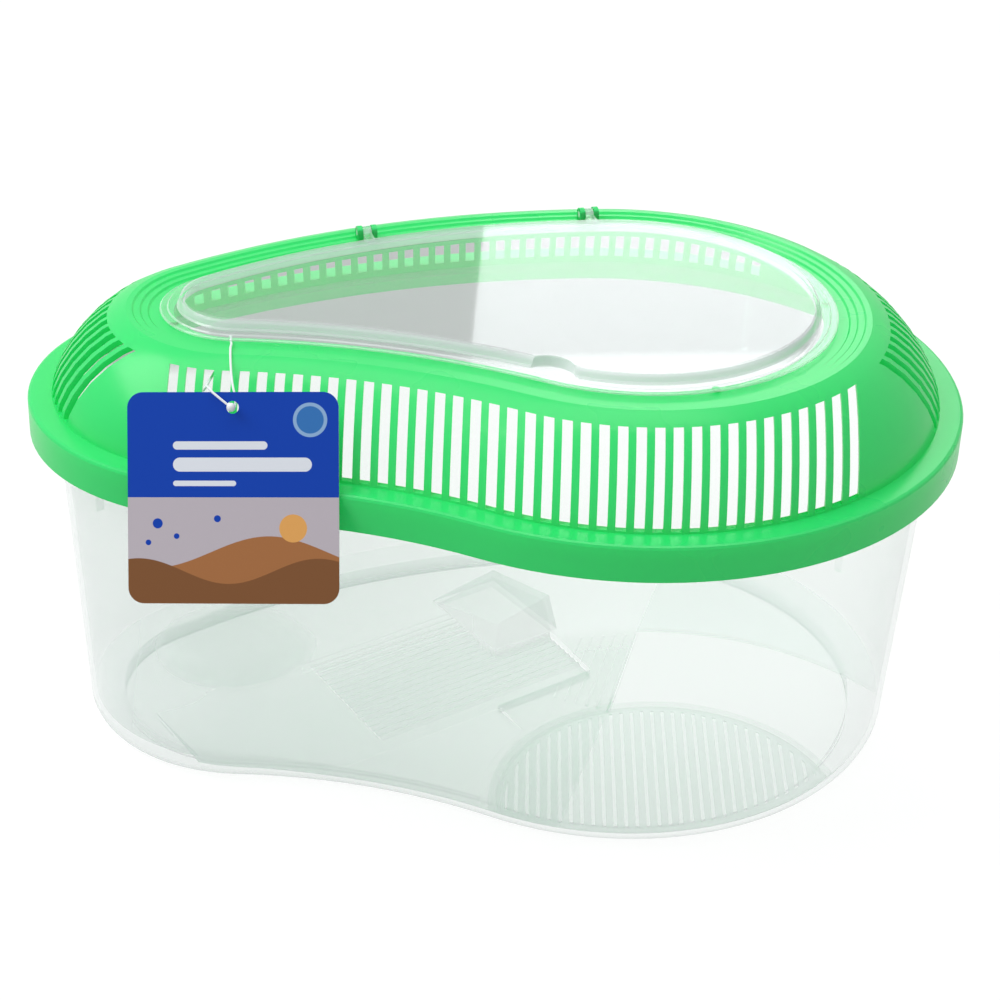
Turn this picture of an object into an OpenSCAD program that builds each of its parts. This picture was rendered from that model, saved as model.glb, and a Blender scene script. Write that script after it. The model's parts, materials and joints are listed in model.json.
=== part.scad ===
// Plastic pet keeper: a clear gourd-shaped tub with a moulded island floor,
// a snap-on vented dome lid, a clear flip-up hatch and a hang tag on its loop.
// Every plan outline is the same four tangent arcs, moved in by an inset.

/* [Plan] */
// Overall length over the lid's skirt
tank_length = 320; // [300:5:340]
// Overall depth over the lid's skirt, which is the wide lobe's diameter
tank_depth = 230; // [224:2:236]
// Radius of the narrow lobe
narrow_r = 71.944; // [70:0.5:74]
// How far the narrow lobe's centre sits behind the wide lobe's
narrow_shift = 0.72; // [-2:0.5:2]
// Radius of the long back arc
back_r = 302.2; // [290:1:320]
// Radius of the hollow front arc
front_r = 182.648; // [170:1:200]

/* [Tub] */
// Overall height, floor to hatch top
total_height = 160; // [156:1:164]
// Moulded wall thickness of the tub
tub_wall = 1.8; // [1.6:0.1:2.2]
// Inset of the tub's foot from the skirt
foot_inset = 15; // [14:0.5:16]
// Inset of the tub's wall just under the rim
neck_inset = 9; // [8.5:0.5:10]
// Rounding where the wall turns into the floor
foot_round = 8.5; // [7.5:0.5:8.5]
// Height of the moulded shelf above the table
shelf_height = 9; // [8:0.5:11]
// Height of the basking block's foot edge above the shelf
block_rise = 0.2; // [0:0.1:0.6]

/* [Lid] */
// Height of the lid's flange above the table
flange_z = 126.5; // [125:0.5:128]
// Height of the skirt that hangs over the tub's rim
skirt_height = 12.5; // [12:0.5:14]
// Moulded wall thickness of the lid
lid_wall = 2; // [1.8:0.1:2.2]
// Inset of the dome's foot on the flange
dome_foot_inset = 8; // [7.5:0.5:8.5]
// Inset of the dome's shoulder
shoulder_inset = 34; // [33:0.5:34.5]
// Width of a vent slot
slot_width = 3.3; // [3:0.1:3.5]
// Pitch of the vent slots, square to their cut
slot_pitch = 5.72; // [5.6:0.02:5.8]

/* [Hatch] */
// Inset of the hatch's thin rim
hatch_inset = 45.3; // [45:0.1:46]
// Inset of the hatch's raised pane
pane_inset = 51.5; // [51:0.5:53]
// Diameter of the hinge pins
pin_d = 2.2; // [2:0.1:2.4]
// Running clearance of the pins, on the radius
pin_gap = 0.05; // [0.03:0.01:0.08]

/* [Tag] */
// Width of the card tag
tag_width = 67; // [62:1:68]
// Height of the card tag
tag_height = 66.5; // [64:0.5:68]
// Thickness of the card
tag_thick = 0.6; // [0.5:0.1:0.8]
// Lean of the card, where it rests on the skirt
tag_lean = 27; // [25:1:29]

/* [Hidden] */
$fn = 120;

// ---- Plan: four tangent arcs -------------------------------------------
wide_r = tank_depth / 2;
wide_c = [tank_length / 2 - wide_r, 0];
narrow_c = [narrow_r - tank_length / 2, narrow_shift];
back_c = [wide_c[0], wide_r - back_r];
front_c = meet(narrow_c, front_r + narrow_r, wide_c, front_r + wide_r);
far = 400;

// The lower crossing of two circles
function meet(c0, r0, c1, r1) =
    let (d = c1 - c0, l = norm(d), a = (r0 * r0 - r1 * r1 + l * l) / (2 * l))
    c0 + a * d / l - sqrt(r0 * r0 - a * a) * [-d[1], d[0]] / l;
function bearing(v) = atan2(v[1], v[0]);
function micron(v) = round(v * 1000) / 1000;

// A wall of the given profile, [inset, height] points, all round the plan.
// Each arc keeps to its own wedge, and neighbours share the line of centres.
module sweep_wall(profile) {
    arc_wall(narrow_c, narrow_r, -1, profile,
        [narrow_c, 2 * narrow_c - back_c, [-far, far], [-far, -far], front_c]);
    arc_wall(front_c, front_r, 1, profile,
        [front_c, 2 * wide_c - front_c, 2 * narrow_c - front_c]);
    arc_wall(wide_c, wide_r, -1, profile,
        [wide_c, front_c, [far, front_c[1]], [far, far], [wide_c[0], far]]);
    arc_wall(back_c, back_r, -1, profile,
        [back_c, [wide_c[0], far], 2 * narrow_c - back_c]);
}

module arc_wall(centre, radius, side, profile, wedge) {
    heights = [for (p = profile) p[1]];
    intersection() {
        translate(centre)
            rotate_extrude()
                polygon([for (p = profile) [radius + side * micron(p[0]), p[1]]]);
        translate([0, 0, min(heights) - 1])
            linear_extrude(max(heights) - min(heights) + 2) polygon(wedge);
    }
}

// The plan's area, moved in by an inset
module plan_area(inset) {
    translate(narrow_c) circle(narrow_r - inset);
    translate(wide_c) circle(wide_r - inset);
    intersection() {
        translate(back_c) circle(back_r - inset);
        polygon([narrow_c, wide_c, [wide_c[0], far], 2 * narrow_c - back_c]);
    }
    difference() {
        polygon([narrow_c, wide_c, front_c]);
        translate(front_c) circle(front_r + inset);
    }
}

// A closed plate: the swept edge profile with the plan's area inside it
module plate(profile, inset, z0, z1) {
    sweep_wall(profile);
    translate([0, 0, z0]) linear_extrude(z1 - z0) plan_area(inset);
}

// ---- Tub ---------------------------------------------------------------
rim_z = flange_z - lid_wall - 0.3;
rim_inset = lid_wall + 0.6;
lip_t = 1.6;
lip_drop = 5;
// The floor's underside sits a little above the foot it stands on
base_z = 0.9;
pool_z = base_z + tub_wall;
round_steps = 6;
foot_rim = 3;
function tub_inset(z) = foot_inset + (neck_inset - foot_inset) * z / rim_z;
// Outer foot rounding, from the table up to the wall, t inside it
function foot_curve(t) = [for (i = [0:round_steps])
    let (a = 90 * i / round_steps)
    [foot_inset + foot_round - (foot_round - t) * sin(a), foot_round - (foot_round - t) * cos(a)]];

module tub_wall_ring() {
    inner = foot_curve(tub_wall);
    rim = foot_inset + foot_round + foot_rim;
    sweep_wall(concat(
        [[rim, pool_z], [rim, 0]],
        foot_curve(0),
        [[neck_inset, rim_z - lip_drop - 1], [neck_inset - 1, rim_z - lip_t],
         [rim_inset + lip_t, rim_z - lip_t], [rim_inset + lip_t, rim_z - lip_drop],
         [rim_inset, rim_z - lip_drop], [rim_inset, rim_z - 1], [rim_inset + 1, rim_z],
         [neck_inset + tub_wall - 1, rim_z], [neck_inset + tub_wall, rim_z - 1.5]],
        [for (i = [round_steps:-1:0]) inner[i]]));
}

// Solid ground up to height z, its edge buried in the middle of the wall
module ground(z) {
    mid = [for (p = foot_curve(tub_wall / 2)) if (p[1] < z) p];
    edge = concat([[foot_inset + 14, base_z]], mid,
        [[tub_inset(z) + tub_wall / 2, z], [foot_inset + 14, z]]);
    plate(edge, foot_inset + 13, base_z, z);
}

// The moulded floor: a shelf round a pool with a beach, a dish and a ramp
pool_c = [55, -80];
pool_r = 58;
beach_r = 103;
beach_rise = shelf_height - pool_z;
dish_c = [-93, 19];
dish_r = 30;
dish_depth = 5;
dish_ball = (dish_r * dish_r + dish_depth * dish_depth) / (2 * dish_depth);
// The ramp's own frame: along its foot line, then up its slope
ramp_foot = [-52, -52];
ramp_turn = 30;
ramp_run = 60;
ramp_span = [-46, 15, 104];
ramp_plain = 6;
ramp_ribs = 18;
rib_rise = 0.9;
apron_z = pool_z + 1;
apron_span = [-20, 62];
apron_run = 45;
// A shallow crease and finer grooves run down the beach
crease = [[41.6, -22.5], [58.3, 20.9]];
groove_step = [[-3.74, 1.43], [-4.3, -0.4]];
grooves = 5;
// Fine ribs on the pool's floor
pool_rib_pitch = 3.75;
pool_rib_w = 1.3;
pool_rib_h = 0.4;
// The basking block, in the ramp's frame, with a sloping top
block_c = [93, 46.5];
block_size = [30, 43];
block_foot = 5;
block_draft = 10;
block_lean = [-13.3, -10.2];

module on_ramp() {
    translate(ramp_foot) rotate(ramp_turn) children();
}

// What is scooped out of the shelf: the pool and its beach, the dish, the ramp
module scoops(ribs) {
    translate([pool_c[0], pool_c[1], pool_z])
        cylinder(r1 = pool_r, r2 = pool_r + (beach_r - pool_r) * 2, h = beach_rise * 2);
    translate([dish_c[0], dish_c[1], shelf_height - dish_depth + dish_ball]) sphere(dish_ball);
    on_ramp() {
        ramp_cut(ramp_span[0], ramp_span[1] + 0.5, 0);
        ramp_cut(ramp_span[1], ramp_span[2], ribs);
        translate([apron_span[0], -apron_run, apron_z])
            cube([apron_span[1] - apron_span[0], apron_run + 0.5, shelf_height]);
    }
}

module ramp_cut(from, to, ribs) {
    step = (ramp_run - ramp_plain) / ramp_ribs;
    pitch = (shelf_height - apron_z) / ramp_run;
    teeth = [for (i = [0:ramp_ribs - 1], half = [0, 0.5])
        let (n = ramp_plain + (i + half) * step) [n, apron_z + n * pitch + 2 * half * ribs]];
    // The slope starts within the apron and runs on clear above the shelf
    foot = 0.25;
    top = ramp_run + 6;
    translate([from, 0, 0])
        rotate([90, 0, 90])
            linear_extrude(to - from)
                polygon(concat([[foot, apron_z + foot * pitch]], teeth,
                    [[top, apron_z + top * pitch], [top, shelf_height + 5], [foot, shelf_height + 5]]));
}

function beach_z(p) = pool_z + (norm(p - pool_c) - pool_r) * beach_rise / (beach_r - pool_r);

module groove(p, q, width, depth) {
    run = norm(q - p);
    translate([p[0], p[1], beach_z(p) - depth])
        rotate([0, -atan((beach_z(q) - beach_z(p)) / run), bearing(q - p)])
            translate([0, -width / 2, 0])
                cube([run, width, shelf_height]);
}

module beach_grooves() {
    groove(crease[0], crease[1], 1.4, 0.8);
    for (i = [1:grooves])
        groove(crease[0] + i * groove_step[0], crease[1] + i * groove_step[1], 0.9, 0.4);
}

module pool_ribs() {
    half = floor(pool_r / pool_rib_pitch) * pool_rib_pitch;
    intersection() {
        translate([pool_c[0], pool_c[1], pool_z - 0.5])
            rotate(-vent_turn)
                for (x = [-half:pool_rib_pitch:half])
                    translate([x - pool_rib_w / 2, -pool_r, 0])
                        cube([pool_rib_w, 2 * pool_r, pool_rib_h + 0.5]);
        translate([pool_c[0], pool_c[1], 0]) cylinder(r = pool_r - 1.5, h = shelf_height);
        linear_extrude(shelf_height) plan_area(foot_inset + foot_round);
    }
}

// The moulding is hollow underneath, one wall thick
module underside() {
    difference() {
        translate([0, 0, -1])
            linear_extrude(shelf_height - tub_wall + 1)
                plan_area(foot_inset + foot_round + foot_rim + 0.5);
        translate([0, 0, -tub_wall - 0.1]) scoops(0);
    }
}

// Short ribs inside the wall that hold nested tubs apart
rib_at = [[wide_c, wide_r, -54.5], [wide_c, wide_r, 54.5],
    [narrow_c, narrow_r, 140], [narrow_c, narrow_r, 215]];
rib_t = 1.6;
rib_low = 27;
module stacking_ribs() {
    for (r = rib_at)
        translate([r[0][0], r[0][1], rim_z - rib_low])
            rotate(r[2])
                translate([r[1] - neck_inset - 6, -rib_t / 2, 0])
                    cube([4.5, rib_t, rib_low - 2]);
}

module block_shape(inset, z0) {
    on_ramp()
        translate([block_c[0], block_c[1], 0])
            difference() {
                translate([inset - block_size[0] / 2, inset - block_size[1] / 2, z0])
                    cube([block_size[0] - 2 * inset, block_size[1] - 2 * inset, 30]);
                for (i = [0:3])
                    rotate(90 * i)
                        translate([block_size[i % 2] / 2 - inset, -50, block_foot])
                            rotate([0, -block_draft, 0]) translate([0, 0, -block_foot * 2])
                                cube([50, 100, 60]);
                translate([-block_size[0] / 2, block_size[1] / 2, shelf_height + block_rise - inset])
                    rotate([0, block_lean[1], 0]) rotate([block_lean[0], 0, 0])
                        translate([-20, -90, 0]) cube([100, 120, 50]);
            }
}

module tank() {
    color([0.85, 0.95, 0.93, 0.5])
        difference() {
            union() {
                tub_wall_ring();
                stacking_ribs();
                difference() {
                    ground(shelf_height);
                    scoops(rib_rise);
                    beach_grooves();
                }
                pool_ribs();
                block_shape(0, block_foot);
            }
            underside();
            block_shape(tub_wall, 0);
        }
}

// ---- Lid ---------------------------------------------------------------
band_z = total_height - 4;
band_inset = 36;
step_drop = 0.6;
step_width = 2.6;
ledge_z = band_z - 3 * step_drop;
window_inset = 50;
dome_steps = 7;
dome_bend = 1.45;
slot_foot = flange_z + 0.7;
slot_top = band_z - 2.8;
slot_depth = 33;
// The front and back rows are cut a little off square, the end rows along x
vent_turn = 6.4;
front_row = [-104, 39];
back_row = [-110, 37];
left_row = [-26.4, 11];
left_pitch = 5.35;
right_row = [-42.9, 16];
loop_slot = 2;

// Dome section from the flange to the shoulder, a wall thickness t inside it
function dome_curve(t) = [for (i = [0:dome_steps])
    let (a = 90 * i / dome_steps)
    [shoulder_inset - (shoulder_inset - dome_foot_inset - t) * pow(cos(a), 2 / dome_bend),
     flange_z + (band_z - flange_z - t) * pow(sin(a), 2 / dome_bend)]];

// The window's surround: three shallow steps down to the hatch's ledge
function window_steps() = [for (i = [0:2])
    let (d = band_inset + i * step_width, z = band_z - i * step_drop)
    each [[d, z], [d + step_drop, z - step_drop]]];

module lid_shell() {
    inner = dome_curve(lid_wall);
    sweep_wall(concat(
        [[lid_wall, flange_z - skirt_height], [0, flange_z - skirt_height], [0, flange_z - 1],
         [0.4, flange_z - 0.3], [1.2, flange_z]],
        dome_curve(0),
        window_steps(),
        [[window_inset, ledge_z], [window_inset, ledge_z - lid_wall],
         [band_inset + 2, ledge_z - lid_wall]],
        [for (i = [dome_steps:-1:1]) inner[i]],
        [[dome_foot_inset + lid_wall, flange_z - lid_wall], [lid_wall, flange_z - lid_wall]]));
}

// One row of upright cuts, from the lid's middle outwards along y
module vent_row(row, pitch, side) {
    for (i = [0:row[1] - 1])
        translate([row[0] + i * pitch - slot_width / 2, side > 0 ? 0 : -far / 2, slot_foot])
            cube([slot_width, far / 2, slot_top - slot_foot]);
}

module vents() {
    difference() {
        union() {
            rotate(-vent_turn) vent_row(front_row, slot_pitch, -1);
            rotate(-vent_turn) vent_row(back_row, slot_pitch, 1);
            translate([narrow_c[0], 0, 0]) rotate(90) vent_row(left_row, left_pitch, 1);
            translate([wide_c[0], 0, 0]) rotate(90) vent_row(right_row, slot_pitch, -1);
        }
        translate([0, 0, slot_foot - 1]) linear_extrude(slot_top - slot_foot + 2) plan_area(slot_depth);
    }
}

// ---- Hinge -------------------------------------------------------------
// Two knuckles on the back of the window's surround share one straight axis
hinge_inset = 41;
hinge_x = [-43, 39];
hinge_z = band_z + 1.4;
hinge_points = [for (x = hinge_x)
    [x, back_c[1] + sqrt(pow(back_r - hinge_inset, 2) - pow(x - back_c[0], 2))]];
hinge_turn = bearing(hinge_points[1] - hinge_points[0]);
ear_t = 1.8;
ear_r = 2.4;
lug_w = 3;
lug_gap = 0.2;

module at_knuckles() {
    for (p = hinge_points)
        translate([p[0], p[1], hinge_z]) rotate(hinge_turn) children();
}

module pin_along(r, length) {
    rotate([0, 90, 0]) cylinder(r = r, h = length, center = true, $fn = 48);
}

module ears() {
    ear_x = lug_w / 2 + lug_gap;
    at_knuckles()
        for (side = [-1, 1])
            translate([side * (ear_x + ear_t / 2), 0, 0]) {
                pin_along(ear_r, ear_t);
                translate([-ear_t / 2, -ear_r, ledge_z - 1 - hinge_z])
                    cube([ear_t, 2 * ear_r, hinge_z - ledge_z + 1]);
            }
}

// Low pads on the ledge that the closed hatch rests on, by direction and arc
pad_at = [[wide_c, wide_r, -75], [wide_c, wide_r, 0], [wide_c, wide_r, 75],
    [narrow_c, narrow_r, 130], [narrow_c, narrow_r, 205]];
module rest_pads() {
    for (p = pad_at)
        translate([p[0][0], p[0][1], ledge_z - 0.5])
            rotate(p[2])
                translate([p[1] - 48, 0, 0]) cylinder(r = 1.4, h = 0.5 + rest_gap - 0.05, $fn = 24);
}

module lid() {
    color([0.2, 0.85, 0.45])
        difference() {
            union() {
                lid_shell();
                ears();
                rest_pads();
            }
            vents();
            at_knuckles() pin_along(pin_d / 2 + pin_gap, 2 * (lug_w + ear_t));
        }
}

// ---- Hatch -------------------------------------------------------------
hatch_t = 1.2;
rest_gap = 1;
rim_z0 = ledge_z + rest_gap;
rim_z1 = rim_z0 + hatch_t;
pane_t = 1.4;
notch_c = [9, -58];
notch_r = 9;

module hatch_edge() {
    sweep_wall([
        [hatch_inset, rim_z0], [hatch_inset, rim_z1 - 0.7], [hatch_inset + 0.5, rim_z1 - 0.4],
        [hatch_inset + 2.4, rim_z1 - 0.4], [hatch_inset + 2.9, rim_z1],
        [pane_inset - 0.5, rim_z1], [pane_inset, rim_z1 + 0.6],
        [pane_inset + 0.4, total_height - 1], [pane_inset + 0.8, total_height - 0.3],
        [pane_inset + 1.6, total_height], [pane_inset + 5, total_height],
        [pane_inset + 5, total_height - pane_t], [pane_inset + 2.2, total_height - pane_t],
        [pane_inset + 1.6, total_height - pane_t - 0.6], [pane_inset + 1.2, rim_z0]]);
}

module hatch_lugs() {
    at_knuckles() {
        pin_along(2, lug_w);
        pin_along(pin_d / 2, lug_w + 2 * (lug_gap + ear_t));
        translate([-lug_w / 2, -8.5, rim_z0 + 0.2 - hinge_z])
            cube([lug_w, 8.5, hinge_z - rim_z0]);
    }
}

// A finger scoop in the pane's front edge
module finger_scoop() {
    translate([notch_c[0], notch_c[1], rim_z1]) cylinder(r = notch_r, h = total_height);
}

module scoop_wall() {
    intersection() {
        translate([notch_c[0], notch_c[1], rim_z0])
            cylinder(r = notch_r + pane_t, h = total_height - rim_z0);
        translate([0, 0, rim_z0]) linear_extrude(total_height - rim_z0) plan_area(pane_inset + 1);
    }
}

module hatch() {
    color([0.9, 0.97, 0.98, 0.5]) {
        difference() {
            union() {
                hatch_edge();
                translate([0, 0, total_height - pane_t])
                    linear_extrude(pane_t) plan_area(pane_inset + 4);
                scoop_wall();
            }
            finger_scoop();
        }
        hatch_lugs();
    }
}

// ---- Tag ---------------------------------------------------------------
// The card leans on the skirt, touching the narrow lobe and the hollow front
tag_turn = 11;
tag_tilt = 4.2;
tag_touch = bearing([0, -1]) - tag_turn;
tag_rest = [narrow_c[0] + (narrow_r + 0.5) * cos(tag_touch),
    narrow_c[1] + (narrow_r + 0.5) * sin(tag_touch), flange_z];
tag_mid = [11.35, -3.85];
tag_hole_drop = 4.8;
tag_hole = [tag_mid[0], tag_mid[1] + tag_height / 2 - tag_hole_drop];
tag_hole_d = 4;
tag_corner = 5;

module on_tag() {
    translate(tag_rest)
        rotate(-tag_turn) rotate([-tag_lean, 0, 0]) rotate([90, 0, 0]) rotate(tag_tilt) children();
}

module hang_tag() {
    color([0.15, 0.3, 0.7])
        on_tag()
            linear_extrude(tag_thick)
                difference() {
                    translate([tag_mid[0] - tag_width / 2 + tag_corner,
                        tag_mid[1] - tag_height / 2 + tag_corner])
                        rounded_card(tag_width - 2 * tag_corner, tag_height - 2 * tag_corner);
                    translate(tag_hole) circle(d = tag_hole_d, $fn = 48);
                }
}

module rounded_card(w, h) {
    translate([-tag_corner, 0]) square([w + 2 * tag_corner, h]);
    translate([0, -tag_corner]) square([w, h + 2 * tag_corner]);
    for (x = [0, w], y = [0, h])
        translate([x, y]) circle(tag_corner, $fn = 48);
}

// ---- Loop --------------------------------------------------------------
loop_d = 0.8;
ball_d = 2.8;
ball_stand = 3;
// The card's own axes: across it, up it and out of its face
back_way = [sin(tag_turn), cos(tag_turn), 0];
level_way = [cos(tag_turn), -sin(tag_turn), 0];
slope_way = back_way * sin(tag_lean) + [0, 0, cos(tag_lean)];
face_way = [0, 0, sin(tag_lean)] - back_way * cos(tag_lean);
across_way = level_way * cos(tag_tilt) + slope_way * sin(tag_tilt);
up_way = slope_way * cos(tag_tilt) - level_way * sin(tag_tilt);
// A point off the hole: x across the card, y up it and n out of its face
function by_hole(x, y, n) =
    tag_rest + (tag_hole[0] + x) * across_way + (tag_hole[1] + y) * up_way + n * face_way;
// A point by direction and inset about the narrow lobe
function by_lobe(a, inset, z) =
    [narrow_c[0] + (narrow_r - inset) * cos(a), narrow_c[1] + (narrow_r - inset) * sin(a), z];
// The direction in which the loop passes through its slot
slot_reach = narrow_r - 24;
loop_across = narrow_c[0] * cos(vent_turn) - narrow_c[1] * sin(vent_turn)
    - front_row[0] - loop_slot * slot_pitch;
loop_at = 270 - vent_turn - asin(loop_across / slot_reach);
loop_route = [
    by_hole(0, 0, ball_stand), by_hole(-2.6, 2, 2.8), by_hole(-5.8, 4.5, 1.9),
    by_hole(-7, 5.6, 1), by_hole(-7.8, 6.2, 0), by_hole(-8.8, 6.6, -3),
    by_lobe(loop_at, 18, 150.7), by_lobe(loop_at, 23, 150.2), by_lobe(loop_at, 28, 149.9),
    by_lobe(loop_at, 33, 149.6), by_lobe(loop_at + 1, 42, 149.8), by_lobe(loop_at + 2, 49, 150.8),
    by_lobe(loop_at + 2.4, 51, 152.1), by_lobe(loop_at + 3, 51.4, 153.5),
    by_lobe(loop_at + 4, 50.7, 154.6), by_lobe(loop_at + 5, 49.3, 154.7),
    by_lobe(loop_at + 6, 46, 154.7), by_lobe(loop_at + 7, 43, 155.3),
    by_lobe(loop_at + 7.3, 38.6, 156.4), by_lobe(loop_at + 7.6, 36, 156.7),
    by_lobe(loop_at + 8.2, 31, 155.9), by_lobe(loop_at + 9, 25, 153.8),
    by_lobe(loop_at + 10, 19, 151.6),
    by_hole(0, 3.2, -4.8), by_hole(0, 0.4, -3.6), by_hole(0, 0, -1), by_hole(0, 0, ball_stand)];
loop_sides = 8;
loop_fine = 3;

function spline(p, i, t) =
    let (n = len(p), a = p[max(i - 1, 0)], b = p[i], c = p[i + 1], d = p[min(i + 2, n - 1)])
    0.5 * (2 * b + (c - a) * t + (2 * a - 5 * b + 4 * c - d) * t * t
        + (3 * b - a - 3 * c + d) * t * t * t);
function smooth_path(p, m) = concat(
    [for (i = [0:len(p) - 2], j = [0:m - 1]) spline(p, i, j / m)], [p[len(p) - 1]]);
function unit(v) = v / norm(v);
function tangent(p, i) = unit(p[min(i + 1, len(p) - 1)] - p[max(i - 1, 0)]);

// A round cord along a path of points
module cord(path, r, sides) {
    n = len(path);
    rings = [for (i = [0:n - 1])
        let (t = tangent(path, i), u = unit(cross(t, [0.3, 0.1, 1])), v = cross(t, u))
        for (k = [0:sides - 1])
            path[i] + r * (u * cos(360 * k / sides) + v * sin(360 * k / sides))];
    skin = [for (i = [0:n - 2], k = [0:sides - 1])
        let (a = i * sides + k, b = i * sides + (k + 1) % sides)
        each [[a, b + sides, b], [a, a + sides, b + sides]]];
    ends = [[for (k = [0:sides - 1]) k], [for (k = [sides - 1:-1:0]) (n - 1) * sides + k]];
    polyhedron(rings, concat(skin, ends));
}

module tag_loop() {
    color([0.95, 0.95, 0.95]) {
        cord(smooth_path(loop_route, loop_fine), loop_d / 2, loop_sides);
        translate(by_hole(0, 0, ball_stand)) sphere(d = ball_d, $fn = 48);
    }
}

tank();
lid();
hatch();
hang_tag();
tag_loop();
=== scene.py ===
import json
import math

import bpy
from mathutils import Matrix, Vector

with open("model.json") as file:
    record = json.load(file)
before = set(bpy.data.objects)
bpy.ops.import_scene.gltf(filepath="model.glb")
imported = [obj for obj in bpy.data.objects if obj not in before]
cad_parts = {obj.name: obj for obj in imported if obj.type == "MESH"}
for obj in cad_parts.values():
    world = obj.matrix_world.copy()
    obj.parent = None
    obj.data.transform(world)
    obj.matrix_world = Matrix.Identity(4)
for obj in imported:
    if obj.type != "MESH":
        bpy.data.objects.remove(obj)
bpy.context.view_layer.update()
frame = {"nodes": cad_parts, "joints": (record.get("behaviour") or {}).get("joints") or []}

bl_info = {
    "name": "Clear pet keeper",
    "version": (1, 0, 0),
    "blender": (4, 5, 0),
    "location": "3D View > Sidebar > Pet keeper",
    "description": "Finishes for a clear gourd-shaped pet keeper with a vented lid, and its studio",
    "category": "Object",
}

MM = 0.001
UP = (0, 0, 1)
HERE = (0, 0, 0)
NODES = frame["nodes"]


def joint(name):
    """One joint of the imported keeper, by its name."""
    return next(j for j in frame["joints"] if j["name"] == name)


# ---- Shader writing ------------------------------------------------------

# How nodes are laid out in the editor: so many across, so far apart
NODES_ACROSS = 12
NODE_GAP = (200, 220)
# Which output of a Texture Coordinate node gives which, and of a Geometry node
NORMAL = 1
OBJECT = 3
BACKFACING = 6
# Which sockets of a Mix node mix colours
MIX_INPUTS = (0, 6, 7)
MIX_RESULT = 2

class Wire:
    """A shader socket that adds a Math node for each Python operation on it."""

    def __init__(self, paint, socket):
        self.paint = paint
        self.socket = socket

    def _math(self, operation, *values, clamp=False):
        return self.paint.add(
            "ShaderNodeMath", {"operation": operation, "use_clamp": clamp}, *values
        )

    def __add__(self, other):
        return self._math("ADD", self, other)

    __radd__ = __add__

    def __sub__(self, other):
        return self._math("SUBTRACT", self, other)

    def __rsub__(self, other):
        return self._math("SUBTRACT", other, self)

    def __mul__(self, other):
        return self._math("MULTIPLY", self, other)

    __rmul__ = __mul__

    def __truediv__(self, other):
        return self._math("DIVIDE", self, other)

    def __pow__(self, other):
        return self._math("POWER", self, other)

    def __gt__(self, other):
        return self._math("GREATER_THAN", self, other)

    def __lt__(self, other):
        return self._math("LESS_THAN", self, other)

    def __abs__(self):
        return self._math("ABSOLUTE", self)

    def most(self, other):
        """The larger of two values."""
        return self._math("MAXIMUM", self, other)

    def sine(self):
        """The sine of a value in radians."""
        return self._math("SINE", self)

    def kept(self):
        """The value held between 0 and 1."""
        return self._math("ADD", self, 0.0, clamp=True)

    def below(self, edge, blur):
        """1 where the value is under an edge, falling to 0 over a short blur."""
        return ((edge - self) / blur + 0.5).kept()


class Paint:
    """The node tree of a material or a world, written with Python expressions."""

    def __init__(self, name, world=False):
        blocks = bpy.data.worlds if world else bpy.data.materials
        self.output = "ShaderNodeOutputWorld" if world else "ShaderNodeOutputMaterial"
        self.block = blocks.new(name)
        self.block.use_nodes = True
        self.tree = self.block.node_tree
        self.tree.nodes.clear()
        self.spread = 0

    def add(self, kind, settings=None, *values, output=0, **sockets):
        """Any node: its settings first, then values or links for its sockets."""
        node = self.tree.nodes.new(kind)
        self.spread += 1
        row, column = divmod(self.spread, NODES_ACROSS)
        node.location = (NODE_GAP[0] * column, -NODE_GAP[1] * row)
        for key, value in (settings or {}).items():
            setattr(node, key, value)
        named = list(enumerate(values))
        named += [(key.replace("_", " "), value) for key, value in sockets.items()]
        for key, value in named:
            self.feed(node.inputs[key], value)
        return Wire(self, node.outputs[output])

    def feed(self, socket, value):
        """Links a wire to a socket, or sets the socket's own value."""
        if isinstance(value, Wire):
            self.tree.links.new(value.socket, socket)
        else:
            socket.default_value = value

    def blend(self, factor, first, second):
        """A colour between two others."""
        pair = [c if isinstance(c, Wire) else (*c, 1) for c in (first, second)]
        node = self.add("ShaderNodeMix", {"data_type": "RGBA"}).socket.node
        for index, value in zip(MIX_INPUTS, (factor, *pair)):
            self.feed(node.inputs[index], value)
        return Wire(self, node.outputs[MIX_RESULT])

    def along(self, point, origin, direction):
        """How far a point is from an origin along a direction."""
        offset = self.add("ShaderNodeVectorMath", {"operation": "SUBTRACT"}, point, tuple(origin))
        settings = {"operation": "DOT_PRODUCT"}
        return self.add("ShaderNodeVectorMath", settings, offset, tuple(direction), output=1)

    def place(self):
        """The place on the object, in its own metres."""
        return self.add("ShaderNodeTexCoord", None, output=OBJECT)

    def reach(self, origin, direction):
        """How far the place lies from an origin along a direction, in millimetres."""
        return self.along(self.place(), [MM * v for v in origin], direction) / MM

    def leaning(self, direction):
        """How far the surface faces a direction, as a cosine."""
        normal = self.add("ShaderNodeTexCoord", None, output=NORMAL)
        return self.along(normal, HERE, direction)

    def plastic(self, colour, roughness, **fixed):
        """A Principled surface."""
        base = colour if isinstance(colour, Wire) else (*colour, 1)
        return self.add(
            "ShaderNodeBsdfPrincipled", None, Base_Color=base, Roughness=roughness, **fixed
        )

    def over(self, factor, under, cover):
        """One shader laid over another."""
        return self.add("ShaderNodeMixShader", None, factor, under, cover)

    def seen(self):
        """1 for rays that show the studio: straight, mirrored or through the plastic."""
        path = self.add("ShaderNodeLightPath").socket.node
        straight, mirrored, through = (
            Wire(self, path.outputs[f"Is {kind} Ray"])
            for kind in ("Camera", "Glossy", "Transmission")
        )
        return (straight + mirrored + through).kept()

    def finish(self, shader):
        """Links the output and gives the material or world back."""
        output = self.tree.nodes.new(self.output)
        self.tree.links.new(shader.socket, output.inputs["Surface"])
        return self.block


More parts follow.
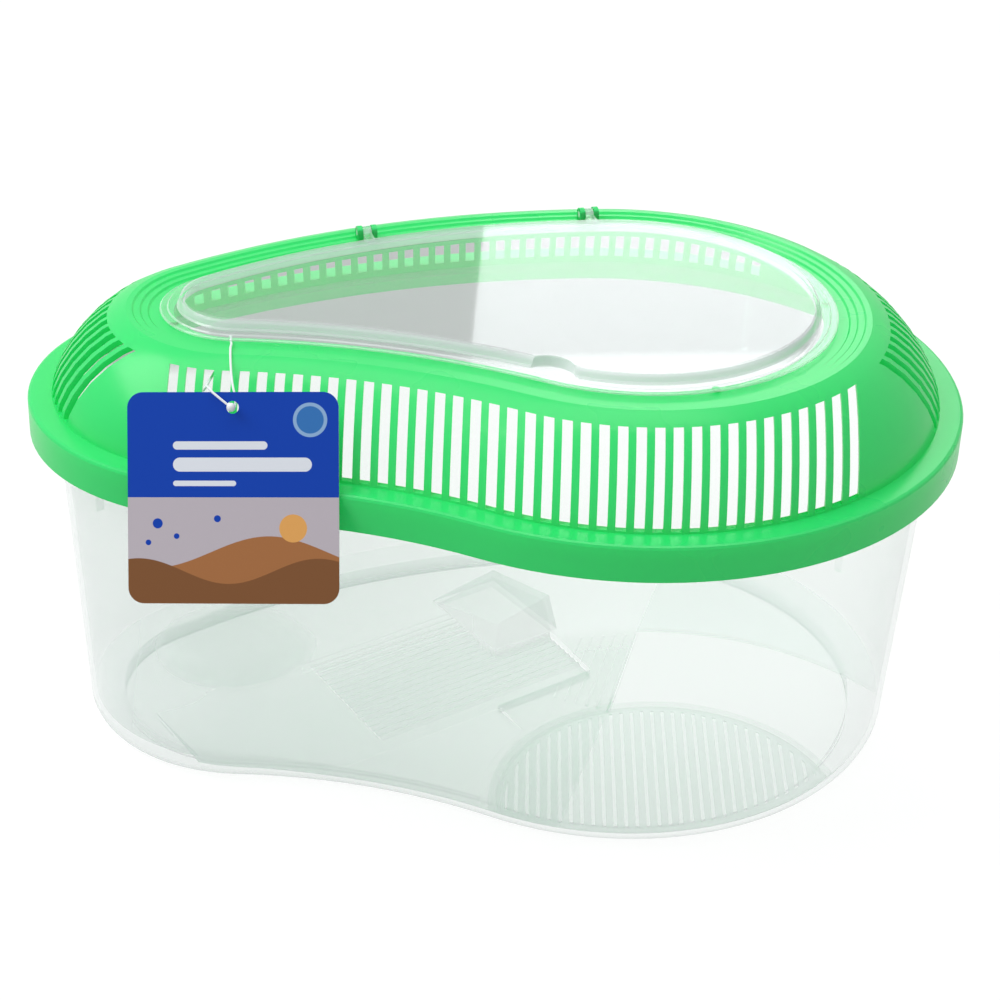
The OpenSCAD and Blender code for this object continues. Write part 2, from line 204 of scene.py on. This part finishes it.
# The gloss of clear plastic: its roughness, and its share face on and edge on
GLOSS_ROUGHNESS = 0.04
SHINE_FACE_ON = 0.03
SHINE_EDGE_ON = 0.5
COVER_ROUGHNESS = 0.25
# How sharply gloss and cover rise towards the edge-on view
EDGE_POWER = 5
# Green and white mouldings: cloudy gloss, light let through
CLOUD_SCALE = 30.0
CLOUD_SPREAD = 0.04
COAT_ROUGHNESS = 0.2
THROUGH_SHARE = 0.35


def clear_plastic(name, tint, cover, density, sloped=None, dull=None):
    """Thin clear moulding: see-through, with a hard gloss.

    density takes the paint, how far the surface faces away and its tilt, as a
    sine, and gives how much of the cover shows. sloped is the cover's paler colour
    on tilted faces, a painted highlight. dull takes the paint and gives the share of the gloss to
    lose.
    """
    paint = Paint(name)
    facing = paint.add("ShaderNodeLayerWeight", None, output=1, Blend=0.5)
    rise = paint.leaning(UP)
    tilt = (1 - rise * rise).most(0.0) ** 0.5
    # Tilted faces take the sloped colour: a painted highlight
    colour = cover if sloped is None else paint.blend(tilt**3, cover, sloped)
    body = paint.over(
        density(paint, facing, rise, tilt).kept(),
        paint.add("ShaderNodeBsdfTransparent", None, Color=(*tint, 1)),
        paint.plastic(colour, COVER_ROUGHNESS),
    )
    gloss = paint.add(
        "ShaderNodeBsdfGlossy", None, Color=(1, 1, 1, 1), Roughness=GLOSS_ROUGHNESS
    )
    shine = SHINE_FACE_ON + SHINE_EDGE_ON * facing**EDGE_POWER
    if dull is not None:
        shine = shine * (1 - dull(paint))
    return paint.finish(paint.over(shine, body, gloss))


def solid_plastic(name, colour, roughness, coat, through=None, shade=None):
    """A glossy coloured moulding with a faint unevenness in its gloss.

    through is the colour of the light that its thin walls let pass, and shade
    takes the paint and gives the places darkened by painted shade.
    """
    paint = Paint(name)
    cloud = paint.add(
        "ShaderNodeTexNoise", None, Vector=paint.place(), Scale=CLOUD_SCALE, Detail=2.0
    )
    # Painted shade: the colour falls to half where shade gives 1
    if shade is not None:
        colour = paint.blend(shade(paint), tuple(colour), [0.5 * c for c in colour])
    shader = paint.plastic(
        colour,
        (roughness - CLOUD_SPREAD / 2) + CLOUD_SPREAD * cloud,
        Coat_Weight=coat,
        Coat_Roughness=COAT_ROUGHNESS,
        Specular_IOR_Level=0.4,
    )
    if through is not None:
        light = paint.add("ShaderNodeBsdfTranslucent", None, Color=(*through, 1))
        shader = paint.over(THROUGH_SHARE, shader, light)
    return paint.finish(shader)


def refinish(node, material):
    """Gives every slot of a CAD node's object one material."""
    mesh = NODES[node].data
    if not mesh.materials:
        mesh.materials.append(material)
    for i in range(len(mesh.materials)):
        mesh.materials[i] = material


# Points this close are one; faces this near to level stay flat; lower angles shade smooth
WELD_GAP = 0.004 * MM
LEVEL_RISE = 0.99995
SMOOTH_ANGLE = math.radians(28)


def soft_edges():
    """A modifier's node group: low angles shade smooth, corners and level faces stay crisp."""
    group = bpy.data.node_groups.new("soft_edges", "GeometryNodeTree")
    group.interface.new_socket("Geometry", in_out="INPUT", socket_type="NodeSocketGeometry")
    group.interface.new_socket("Geometry", in_out="OUTPUT", socket_type="NodeSocketGeometry")

    def step(kind, first_input=None, **settings):
        node = group.nodes.new(kind)
        for key, value in settings.items():
            setattr(node, key, value)
        if first_input is not None:
            group.links.new(first_input, node.inputs[0])
        return node

    source = step("NodeGroupInput")
    weld = step("GeometryNodeMergeByDistance", source.outputs[0])
    weld.inputs["Distance"].default_value = WELD_GAP
    bare = step("GeometryNodeRemoveAttribute", weld.outputs[0])
    bare.inputs["Name"].default_value = "custom_normal"
    faces = step("GeometryNodeSetShadeSmooth", bare.outputs[0], domain="FACE")
    normal = step("GeometryNodeInputNormal")
    split = step("ShaderNodeSeparateXYZ", normal.outputs[0])
    rise = step("ShaderNodeMath", split.outputs[2], operation="ABSOLUTE")
    compare = {"data_type": "FLOAT", "operation": "LESS_THAN"}
    curved = step("FunctionNodeCompare", rise.outputs[0], **compare)
    curved.inputs[1].default_value = LEVEL_RISE
    group.links.new(curved.outputs[0], faces.inputs["Shade Smooth"])
    angle = step("GeometryNodeInputMeshEdgeAngle")
    low = step("FunctionNodeCompare", angle.outputs[0], **compare)
    low.inputs[1].default_value = SMOOTH_ANGLE
    edges = step("GeometryNodeSetShadeSmooth", faces.outputs[0], domain="EDGE")
    group.links.new(low.outputs[0], edges.inputs["Shade Smooth"])
    result = step("NodeGroupOutput")
    group.links.new(edges.outputs[0], result.inputs[0])
    return group


def smooth(node):
    """Adds the soft-edge modifier to a CAD node's object."""
    group = bpy.data.node_groups.get("soft_edges") or soft_edges()
    modifier = NODES[node].modifiers.new("soft_edges", "NODES")
    modifier.node_group = group


# ---- Settings ------------------------------------------------------------


def colour_property(name, description, default):
    """A colour a user can change."""
    return bpy.props.FloatVectorProperty(
        name=name, description=description, default=default, subtype="COLOR", min=0, max=1, size=3
    )


class KeeperFinish(bpy.types.PropertyGroup):
    """Colours and clearness of the keeper's pieces."""

    tub_tint: colour_property("Tub tint", "Light through the tub", (0.985, 0.993, 0.990))
    tub_cover: colour_property("Tub cover", "Colour of the tub seen edge on", (0.82, 0.87, 0.88))
    # Painted highlight: the paler cover colour of tilted faces
    tub_slope_highlight: colour_property("Tub slopes", "Colour of the floor's slopes", (0.96, 0.97, 0.98))
    tub_density: bpy.props.FloatProperty(
        name="Tub density",
        description="How much of the tub's cover colour shows face on",
        default=0.025,
        min=0,
        max=1,
        subtype="FACTOR",
    )
    lid_colour: colour_property("Lid", "Colour of the lid", (0.045, 0.84, 0.24))
    lid_through: colour_property("Lid light", "Light through the lid", (0.10, 1.0, 0.38))
    hatch_tint: colour_property("Hatch tint", "Light through the hatch", (0.98, 0.992, 0.99))
    hatch_cover: colour_property("Hatch cover", "Colour of the hatch's edges", (0.92, 0.94, 0.97))
    card_blue: colour_property("Card panel", "Upper panel of the card", (0.002, 0.056, 0.46))
    card_pale: colour_property("Card ground", "Lower panel of the card", (0.57, 0.51, 0.56))
    card_sand: colour_property("Card sand", "Dunes on the card", (0.42, 0.17, 0.06))
    loop_white: colour_property("Loop", "Colour of the nylon loop", (0.86, 0.88, 0.90))


class KeeperStudio(bpy.types.PropertyGroup):
    """Camera and light."""

    azimuth: bpy.props.FloatProperty(
        name="Azimuth",
        description="Camera's turn from straight in front",
        default=math.radians(-6.35),
        subtype="ANGLE",
    )
    elevation: bpy.props.FloatProperty(
        name="Elevation",
        description="Camera's height angle",
        default=math.radians(29.38),
        subtype="ANGLE",
    )
    roll: bpy.props.FloatProperty(
        name="Roll",
        description="Camera's turn about its own line of sight",
        default=math.radians(2.0),
        subtype="ANGLE",
    )
    distance: bpy.props.FloatProperty(
        name="Distance",
        description="Camera to the middle of the keeper",
        default=0.82946,
        min=0.2,
        unit="LENGTH",
    )
    lens: bpy.props.FloatProperty(
        name="Lens",
        description="Focal length on a 36 mm frame",
        default=84.27,
        min=10,
        subtype="DISTANCE_CAMERA",
    )
    key_power: bpy.props.FloatProperty(
        name="Key light",
        description="Power of the large soft key",
        default=9.4,
        min=0,
        unit="POWER",
    )
    top_power: bpy.props.FloatProperty(
        name="Top light",
        description="Power of the soft overhead light",
        default=4.0,
        min=0,
        unit="POWER",
    )
    rim_power: bpy.props.FloatProperty(
        name="Back light",
        description="Power of the light the window reflects",
        default=1.25,
        min=0,
        unit="POWER",
    )
    ambient: bpy.props.FloatProperty(
        name="Ambient", description="Strength of the even studio light", default=0.5, min=0
    )


# ---- Pieces --------------------------------------------------------------

# The tub's places are in millimetres, with its middle at the origin.
# The moulded floor in plan: the pool, the beach round it, the crease at the
# beach's side, and the way up the ramp
POOL_CENTRE = (55, -80, 0)
POOL_REACH = 59
BEACH_REACH = 101
CREASE_FOOT = (41.6, -22.5, 0)
CREASE_SIDE = (0.933, -0.359, 0)
RAMP_UP = (-0.5, 0.866, 0)
# Heights: just over the pool's floor, over its ribs, under the shelf, over the
# shelf, and over all that stands on the floor
POOL_TOP = 2.9
POOL_RIB_TOP = 3.3
SHELF_UNDER = 8.9
SHELF_OVER = 9.3
FLOOR_TOP = 26
# Depth over which a hollow's tone comes to its full
HOLLOW_FADE = 2
# Faces that rise less than this are walls; tilts over SLOPE_FROM are slopes
WALL_RISE = 0.12
SLOPE_FROM = 0.33
# How much painted shade each part of the floor adds to the tub's density
POOL_TONE = 0.24
POOL_RIB_TONE = 0.18
CRESCENT_TONE = 0.27
ISLAND_TONE = 0.15
HOLLOW_TONE = 0.16
SLOPE_TONE = 0.08
RIB_BACK_TONE = 0.4
# How much painted shade the walls add: at the foot, lower down and towards the narrow end
FOOT_TONE, FOOT_HEIGHT = 0.30, 6
LOW_TONE, LOW_HEIGHT = 0.03, 60
END_TONE, END_FROM, END_LENGTH = 0.12, 30, 160
TUB_EDGE_TONE = 0.42
FLOOR_DULLNESS = 0.9


class KEEPER_OT_tub(bpy.types.Operator):
    """Finish the clear tub and its moulded floor"""

    bl_idname = "keeper.tub"
    bl_label = "Clear tub"

    def execute(self, context):
        finish = context.scene.keeper_finish
        material = clear_plastic(
            "clear_tub",
            finish.tub_tint,
            finish.tub_cover,
            self.density,
            finish.tub_slope_highlight,
            self.floor_dullness,
        )
        refinish("tank", material)
        smooth("tank")
        return {"FINISHED"}

    @staticmethod
    def floor_painted_shade(paint, height, tilt):
        """Painted shade on the moulded floor: a clear beach between darker hollows and shelf, with
        darker slopes and rib backs.
        """
        across = paint.reach(POOL_CENTRE, (1, 0, 0))
        deep = paint.reach(POOL_CENTRE, (0, 1, 0))
        reach = (across * across + deep * deep) ** 0.5
        past_crease = paint.reach(CREASE_FOOT, CREASE_SIDE) > 0
        pool = POOL_TONE * height.below(POOL_TOP, 0.1)
        pool_ribs = POOL_RIB_TONE * height.below(POOL_RIB_TOP, 0.1)
        near = reach.below(BEACH_REACH, 1)
        crescent = (1 - near) * past_crease
        island = (1 - past_crease) * (1 - reach.below(POOL_REACH, 1))
        hollow = ((SHELF_UNDER - height) / HOLLOW_FADE).kept() * (1 - near * past_crease)
        slope = ((tilt - SLOPE_FROM) / (1 - SLOPE_FROM)).most(0.0)
        rib_backs = paint.leaning(RAMP_UP).kept()
        level = pool + pool_ribs + CRESCENT_TONE * crescent + ISLAND_TONE * island
        return level + HOLLOW_TONE * hollow + SLOPE_TONE * slope + RIB_BACK_TONE * rib_backs

    @staticmethod
    def density(paint, facing, rise, tilt):
        """Clear walls with painted shade at the foot, lower down and towards the narrow end, and a
        floor toned by painted shade.
        """
        finish = bpy.context.scene.keeper_finish
        height = paint.reach(HERE, UP)
        inside = paint.add("ShaderNodeNewGeometry", None, output=BACKFACING)
        upward = (rise > WALL_RISE) * height.below(FLOOR_TOP, 1) * (1 - inside)
        # Painted shade: denser cover at the foot, lower down and towards the narrow end
        foot = FOOT_TONE * ((FOOT_HEIGHT - height) / FOOT_HEIGHT).kept()
        low = LOW_TONE * ((LOW_HEIGHT - height) / LOW_HEIGHT).kept()
        towards_end = paint.reach((END_FROM, 0, 0), (-1, 0, 0))
        painted_end_shade = END_TONE * (towards_end / END_LENGTH).kept()
        walls = finish.tub_density + painted_end_shade + (rise < WALL_RISE) * (foot + low)
        edges = TUB_EDGE_TONE * facing**EDGE_POWER
        return walls + edges + upward * KEEPER_OT_tub.floor_painted_shade(paint, height, tilt)

    @staticmethod
    def floor_dullness(paint):
        """The moulded floor is less glossy than the walls."""
        return FLOOR_DULLNESS * paint.reach(HERE, UP).below(SHELF_OVER, 0.2)


# Painted shade darkens the surround's steps: they start above this height and their risers lean
# less than this
SURROUND_FOOT = 153.7
RISER_LEAN = 0.6


class KEEPER_OT_lid(bpy.types.Operator):
    """Finish the vented dome lid"""

    bl_idname = "keeper.lid"
    bl_label = "Vented lid"

    def execute(self, context):
        finish = context.scene.keeper_finish
        material = solid_plastic(
            "green_lid", finish.lid_colour, 0.28, 0.25, finish.lid_through, self.risers
        )
        refinish("lid", material)
        smooth("lid")
        return {"FINISHED"}

    @staticmethod
    def risers(paint):
        """The upright faces of the steps round the window, darkened as painted shade."""
        return (paint.reach(HERE, UP) > SURROUND_FOOT) * (abs(paint.leaning(UP)) < RISER_LEAN)


# How much the hatch's density is face on, edge on and by its tilt; the tilt share is a painted
# highlight on the steps
PANE_TONE = 0.015
PANE_EDGE_TONE = 0.5
PANE_TILT_HIGHLIGHT = 0.48


class KEEPER_OT_hatch(bpy.types.Operator):
    """Finish the clear flip-up hatch"""

    bl_idname = "keeper.hatch"
    bl_label = "Clear hatch"

    def execute(self, context):
        finish = context.scene.keeper_finish
        material = clear_plastic(
            "clear_hatch", finish.hatch_tint, finish.hatch_cover, self.density
        )
        refinish("hatch", material)
        smooth("hatch")
        return {"FINISHED"}

    @staticmethod
    def density(paint, facing, rise, tilt):
        """A clear pane whose edges show pale edge on and whose steps show pale as a painted
        highlight.
        """
        return PANE_TONE + PANE_EDGE_TONE * facing**EDGE_POWER + PANE_TILT_HIGHLIGHT * tilt


# How the card hangs: leaning on the skirt, turned along it, and tilted on its hole
CARD_LEAN = math.radians(27)
CARD_TURN = math.radians(11)
CARD_TILT = math.radians(4.2)
# From the hole down to the card's middle, in millimetres
HOLE_TO_MIDDLE = 33.25 - 4.8
# The print, in millimetres from the card's middle: discs are (x, y, radius),
# bars (x, y, length, width) and dunes (height, rise, waves per mm, start)
PRINT_BLUR = 0.15
PANEL_FOOT = 0.2
DOTS = ((-24, -8, 1.6), (-18, -12, 0.9), (-27, -14, 0.9), (-5, -6.5, 1.1))
SUN = (19, -9.5, 4.4)
BARS = ((-4, 16.5, 30, 2.6), (3, 10.5, 44, 4.4), (-9, 4.6, 20, 1.7))
BADGE = (24.5, 24.5, 5.4)
BADGE_INSIDE = (24.5, 24.5, 4.3)
FAR_DUNE = (-17, 5, 0.085, 0.6)
NEAR_DUNE = (-23, 4, 0.11, -1.4)
SUN_ORANGE = (0.85, 0.42, 0.12)
BAR_WHITE = (0.85, 0.88, 0.95)
BADGE_BLUE = (0.04, 0.19, 0.52)
BADGE_RIM = (0.30, 0.48, 0.75)
CARD_BACK = (0.78, 0.79, 0.80)


class KEEPER_OT_card(bpy.types.Operator):
    """Print the hang tag: a blue panel over dunes, with plain discs and bars"""

    bl_idname = "keeper.card"
    bl_label = "Hang tag"

    def execute(self, context):
        finish = context.scene.keeper_finish
        refinish("hang_tag", card_print(finish))
        return {"FINISHED"}


def card_axes():
    """The card's middle and its directions across, up and out of its face."""
    turned = Matrix.Rotation(-CARD_TURN, 3, "Z") @ Matrix.Rotation(-CARD_LEAN, 3, "X")
    turned = turned @ Matrix.Rotation(math.pi / 2, 3, "X") @ Matrix.Rotation(CARD_TILT, 3, "Z")
    across, up, out = (turned @ Vector(v) for v in ((1, 0, 0), (0, 1, 0), (0, 0, 1)))
    hole = Vector(joint("tag_swing")["pos_m"])
    middle = hole - up * HOLE_TO_MIDDLE * MM
    return middle, across, up, out


def card_print(finish):
    """Glossy card, printed on the front and plain on the back."""
    paint = Paint("printed_card")
    middle, across, up, out = card_axes()
    place = paint.place()
    x = paint.along(place, middle, across) / MM
    y = paint.along(place, middle, up) / MM
    front = paint.along(place, middle, out) / MM > 0.3

    def disc(cx, cy, r):
        dx, dy = x - cx, y - cy
        return ((dx * dx + dy * dy) ** 0.5).below(r, PRINT_BLUR)

    def bar(cx, cy, length, width):
        dx = (abs(x - cx) - (length - width) / 2).most(0.0)
        dy = y - cy
        return ((dx * dx + dy * dy) ** 0.5).below(width / 2, PRINT_BLUR)

    def dune(height, rise, waves, start):
        return y.below(height + rise * (x * waves + start).sine(), 0.2)

    picture = paint.blend(dune(*FAR_DUNE), finish.card_pale, finish.card_sand)
    near_sand = [0.55 * c for c in finish.card_sand]
    picture = paint.blend(dune(*NEAR_DUNE), picture, near_sand)
    picture = paint.blend(disc(*SUN), picture, SUN_ORANGE)
    for dot in DOTS:
        picture = paint.blend(disc(*dot), picture, finish.card_blue)
    picture = paint.blend(y > PANEL_FOOT, picture, finish.card_blue)
    for plain_bar in BARS:
        picture = paint.blend(bar(*plain_bar), picture, BAR_WHITE)
    badge = disc(*BADGE)
    picture = paint.blend(badge, picture, BADGE_BLUE)
    picture = paint.blend(badge - disc(*BADGE_INSIDE), picture, BADGE_RIM)
    colour = paint.blend(front, CARD_BACK, picture)
    return paint.finish(paint.plastic(colour, 0.4, Specular_IOR_Level=0.2))


class KEEPER_OT_loop(bpy.types.Operator):
    """Finish the nylon loop and its bead"""

    bl_idname = "keeper.loop"
    bl_label = "Nylon loop"

    def execute(self, context):
        finish = context.scene.keeper_finish
        refinish("tag_loop", solid_plastic("white_nylon", finish.loop_white, 0.4, 0.1))
        smooth("tag_loop")
        return {"FINISHED"}


# ---- Studio --------------------------------------------------------------

LOOK_AT = Vector((0, 0, 0.080))
SHIFT = (0.00533, -0.0018)
FRAME_WIDTH = 36
# Light passes this many clear surfaces, front wall to back wall
CLEAR_LAYERS = 40
# Each lamp's place, what it faces and its two sides, in metres
KEY_LAMP = ((-0.95, 0.05, 1.1), (0, 0, 0.1), (0.9, 0.7))
TOP_LAMP = ((-0.05, 0.15, 1.25), (0, 0, 0.1), (1.0, 0.6))
BACK_LAMP = ((0.365, 1.2, 0.72), (0.05, 0.06, 0.155), (0.51, 0.25))
BACK_LAMP_COLOUR = (0.95, 0.98, 1.0)
# The floor: its half width and how far it lies under the foot, in metres
FLOOR_HALF = 3.0
FLOOR_DROP = 0.0002
FLOOR_GREY = (0.6, 0.61, 0.61)
FLOOR_GLOW = 1.06
# Share of the floor that glows white where it shows; the rest takes the shadow
GLOW_SHARE = 0.86
# Painted shade on the ground behind the keeper: middle, half sides and blurs, in metres
SHADE_MIDDLE = (0.01, 0.3575)
SHADE_HALF = (0.2, 0.0845)
SHADE_BLUR = (0.05, 0.02)
SHADE_GREY = (0.40, 0.41, 0.40)
EVEN_LIGHT = (0.97, 0.99, 1)


def area_light(name, lamp, power, colour=(1, 1, 1)):
    """A rectangular soft light turned to face a point."""
    place, aim, size = lamp
    data = bpy.data.lights.new(name, "AREA")
    data.shape = "RECTANGLE"
    data.size, data.size_y = size
    data.energy = power
    data.color = colour
    light = bpy.data.objects.new(name, data)
    light.location = place
    light.rotation_euler = (Vector(aim) - Vector(place)).to_track_quat("-Z", "Y").to_euler()
    bpy.context.scene.collection.objects.link(light)


class KEEPER_OT_stage(bpy.types.Operator):
    """Build the pale floor, the soft lights and the camera"""

    bl_idname = "keeper.stage"
    bl_label = "Studio"

    def execute(self, context):
        scene = context.scene
        studio = scene.keeper_studio
        self.floor(scene)
        self.world(scene, studio)
        area_light("key", KEY_LAMP, studio.key_power)
        area_light("top", TOP_LAMP, studio.top_power)
        area_light("back", BACK_LAMP, studio.rim_power, BACK_LAMP_COLOUR)
        self.camera(scene, studio)
        scene.view_settings.view_transform = "Standard"
        scene.cycles.transparent_max_bounces = CLEAR_LAYERS
        return {"FINISHED"}

    @staticmethod
    def shade_behind(paint):
        """Painted shade on the ground behind the keeper, shown only through the clear plastic."""
        path = paint.add("ShaderNodeLightPath").socket.node
        through_plastic = Wire(paint, path.outputs["Transparent Depth"]) > 0.5
        place = paint.place()
        middle = (*SHADE_MIDDLE, 0)
        x = abs(paint.along(place, middle, (1, 0, 0))).below(SHADE_HALF[0], SHADE_BLUR[0])
        y = abs(paint.along(place, middle, (0, 1, 0))).below(SHADE_HALF[1], SHADE_BLUR[1])
        return through_plastic * x * y

    def floor(self, scene):
        """A plain pale floor that runs out to white and keeps a faint shadow."""
        half = FLOOR_HALF
        corners = [(-half, -half, 0), (half, -half, 0), (half, half, 0), (-half, half, 0)]
        mesh = bpy.data.meshes.new("floor")
        mesh.from_pydata(corners, [], [(0, 1, 2, 3)])
        plane = bpy.data.objects.new("floor", mesh)
        plane.location.z = -FLOOR_DROP
        paint = Paint("pale_floor")
        seen = paint.seen()
        open_floor = paint.blend(seen, FLOOR_GREY, (1, 1, 1))
        # Painted shade behind the keeper, seen only through the clear plastic
        colour = paint.blend(self.shade_behind(paint), open_floor, SHADE_GREY)
        matte = paint.add("ShaderNodeBsdfDiffuse", None, Color=colour)
        glow = paint.add("ShaderNodeEmission", None, Color=colour, Strength=FLOOR_GLOW)
        mesh.materials.append(paint.finish(paint.over(seen * GLOW_SHARE, matte, glow)))
        scene.collection.objects.link(plane)

    @staticmethod
    def world(scene, studio):
        """Even light for the keeper, white where the background itself shows."""
        paint = Paint("studio", world=True)
        even = paint.add(
            "ShaderNodeBackground", None, Color=(*EVEN_LIGHT, 1), Strength=studio.ambient
        )
        white = paint.add("ShaderNodeBackground", None, Color=(1, 1, 1, 1), Strength=1.0)
        scene.world = paint.finish(paint.over(paint.seen(), even, white))

    @staticmethod
    def camera(scene, studio):
        """The camera, turned about the keeper and then about its own line of sight."""
        a, e = studio.azimuth, studio.elevation
        back = Vector((math.sin(a) * math.cos(e), -math.cos(a) * math.cos(e), math.sin(e)))
        data = bpy.data.cameras.new("camera")
        data.sensor_width = FRAME_WIDTH
        data.lens = studio.lens
        data.shift_x, data.shift_y = SHIFT
        camera = bpy.data.objects.new("camera", data)
        turn = (-back).to_track_quat("-Z", "Y").to_matrix() @ Matrix.Rotation(studio.roll, 3, "Z")
        camera.matrix_world = Matrix.Translation(LOOK_AT + back * studio.distance) @ turn.to_4x4()
        scene.collection.objects.link(camera)
        scene.camera = camera


# ---- Panel and run -------------------------------------------------------

PIECES = (
    KEEPER_OT_stage,
    KEEPER_OT_tub,
    KEEPER_OT_lid,
    KEEPER_OT_hatch,
    KEEPER_OT_card,
    KEEPER_OT_loop,
)


class KEEPER_PT_panel(bpy.types.Panel):
    """Buttons and settings for the pet keeper"""

    bl_idname = "KEEPER_PT_panel"
    bl_label = "Pet keeper"
    bl_space_type = "VIEW_3D"
    bl_region_type = "UI"
    bl_category = "Pet keeper"

    def draw(self, context):
        for piece in PIECES:
            self.layout.operator(piece.bl_idname)
        for group in (context.scene.keeper_finish, context.scene.keeper_studio):
            for key in group.__annotations__:
                self.layout.prop(group, key)


CLASSES = (KeeperFinish, KeeperStudio, *PIECES, KEEPER_PT_panel)


def register():
    """Registers the classes and their settings."""
    for cls in CLASSES:
        bpy.utils.register_class(cls)
    bpy.types.Scene.keeper_finish = bpy.props.PointerProperty(type=KeeperFinish)
    bpy.types.Scene.keeper_studio = bpy.props.PointerProperty(type=KeeperStudio)


def unregister():
    """Takes the classes and their settings away."""
    del bpy.types.Scene.keeper_studio
    del bpy.types.Scene.keeper_finish
    for cls in reversed(CLASSES):
        bpy.utils.unregister_class(cls)


def main():
    """Builds the studio and finishes each piece."""
    register()
    bpy.ops.keeper.stage()
    bpy.ops.keeper.tub()
    bpy.ops.keeper.lid()
    bpy.ops.keeper.hatch()
    bpy.ops.keeper.card()
    bpy.ops.keeper.loop()


if __name__ == "__main__":
    main()
